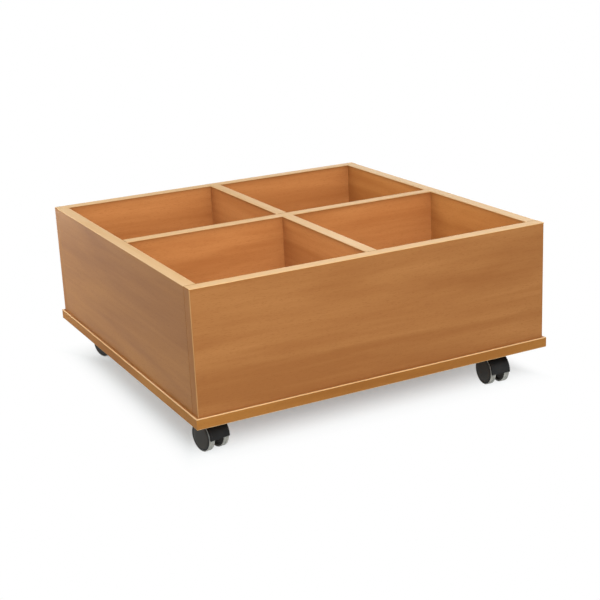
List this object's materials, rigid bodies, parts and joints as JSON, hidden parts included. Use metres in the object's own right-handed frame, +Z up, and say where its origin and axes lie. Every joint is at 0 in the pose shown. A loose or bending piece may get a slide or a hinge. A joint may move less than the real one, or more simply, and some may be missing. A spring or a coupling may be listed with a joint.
{
  "type": "picture book browser bin",
  "caption": "Square open-topped wooden book bin on a base board, split by crossing dividers into compartments, standing on hooded twin-wheel castors.",
  "frame": {"origin": "middle of the bin's plan, on the floor under the wheels", "axes": "+X along the front from left to right, +Y from the front to the back, +Z up"},
  "size_m": [0.7, 0.7, 0.301],
  "materials": {
    "board": "satin beech laminate",
    "edging": "satin pale beech",
    "plywood": "bare",
    "castor_plate": "bright zinc plate",
    "castor_hood": "fine-textured black moulding",
    "castor_wheel": "satin dark grey disc with a grey tread",
    "axle": "plain"
  },
  "bodies": {
    "bin": {"back_end_edgings": "edging", "back_left_castor_plate": "castor_plate", "back_panel": "board", "back_right_castor_plate": "castor_plate", "back_top_edging": "edging", "base_back_edging": "edging", "base_board": "board", "base_front_edging": "edging", "base_left_edging": "edging", "base_right_edging": "edging", "corner_tongues": "plywood", "cross_divider": "board", "cross_divider_edging": "edging", "front_end_edgings": "edging", "front_left_castor_plate": "castor_plate", "front_panel": "board", "front_right_castor_plate": "castor_plate", "front_top_edging": "edging", "left_panel": "board", "left_top_edging": "edging", "long_divider": "board", "long_divider_edgings": "edging", "right_panel": "board", "right_top_edging": "edging"},
    "front_left_castor": {"front_left_castor_housing": "castor_hood", "front_left_axle": "axle"},
    "front_left_wheel_left": {"front_left_left_wheel": "castor_wheel"},
    "front_left_wheel_right": {"front_left_right_wheel": "castor_wheel"},
    "front_right_castor": {"front_right_castor_housing": "castor_hood", "front_right_axle": "axle"},
    "front_right_wheel_left": {"front_right_left_wheel": "castor_wheel"},
    "front_right_wheel_right": {"front_right_right_wheel": "castor_wheel"},
    "back_left_castor": {"back_left_castor_housing": "castor_hood", "back_left_axle": "axle"},
    "back_left_wheel_left": {"back_left_left_wheel": "castor_wheel"},
    "back_left_wheel_right": {"back_left_right_wheel": "castor_wheel"},
    "back_right_castor": {"back_right_castor_housing": "castor_hood", "back_right_axle": "axle"},
    "back_right_wheel_left": {"back_right_left_wheel": "castor_wheel"},
    "back_right_wheel_right": {"back_right_right_wheel": "castor_wheel"}
  },
  "joints": [
    {"name": "front_left_swivel", "type": "hinge", "parent": "bin", "child": "front_left_castor", "pos_m": [-0.306, -0.265, 0.05], "axis": [0, 0, 1], "continuous": true},
    {"name": "front_left_left_wheel_spin", "type": "hinge", "parent": "front_left_castor", "child": "front_left_wheel_left", "pos_m": [-0.30165, -0.28657, 0.026], "axis": [0.9803, 0.1977, 0], "continuous": true},
    {"name": "front_left_right_wheel_spin", "type": "hinge", "parent": "front_left_castor", "child": "front_left_wheel_right", "pos_m": [-0.30165, -0.28657, 0.026], "axis": [0.9803, 0.1977, 0], "continuous": true},
    {"name": "front_right_swivel", "type": "hinge", "parent": "bin", "child": "front_right_castor", "pos_m": [0.264, -0.281, 0.05], "axis": [0, 0, 1], "continuous": true},
    {"name": "front_right_left_wheel_spin", "type": "hinge", "parent": "front_right_castor", "child": "front_right_wheel_left", "pos_m": [0.26308, -0.30298, 0.026], "axis": [0.9991, -0.0419, 0], "continuous": true},
    {"name": "front_right_right_wheel_spin", "type": "hinge", "parent": "front_right_castor", "child": "front_right_wheel_right", "pos_m": [0.26308, -0.30298, 0.026], "axis": [0.9991, -0.0419, 0], "continuous": true},
    {"name": "back_left_swivel", "type": "hinge", "parent": "bin", "child": "back_left_castor", "pos_m": [-0.292, 0.281, 0.05], "axis": [0, 0, 1], "continuous": true},
    {"name": "back_left_left_wheel_spin", "type": "hinge", "parent": "back_left_castor", "child": "back_left_wheel_left", "pos_m": [-0.28448, 0.26033, 0.026], "axis": [0.9397, 0.342, 0], "continuous": true},
    {"name": "back_left_right_wheel_spin", "type": "hinge", "parent": "back_left_castor", "child": "back_left_wheel_right", "pos_m": [-0.28448, 0.26033, 0.026], "axis": [0.9397, 0.342, 0], "continuous": true},
    {"name": "back_right_swivel", "type": "hinge", "parent": "bin", "child": "back_right_castor", "pos_m": [0.292, 0.281, 0.05], "axis": [0, 0, 1], "continuous": true},
    {"name": "back_right_left_wheel_spin", "type": "hinge", "parent": "back_right_castor", "child": "back_right_wheel_left", "pos_m": [0.29657, 0.25948, 0.026], "axis": [0.9781, 0.2079, 0], "continuous": true},
    {"name": "back_right_right_wheel_spin", "type": "hinge", "parent": "back_right_castor", "child": "back_right_wheel_right", "pos_m": [0.29657, 0.25948, 0.026], "axis": [0.9781, 0.2079, 0], "continuous": true}
  ]
}
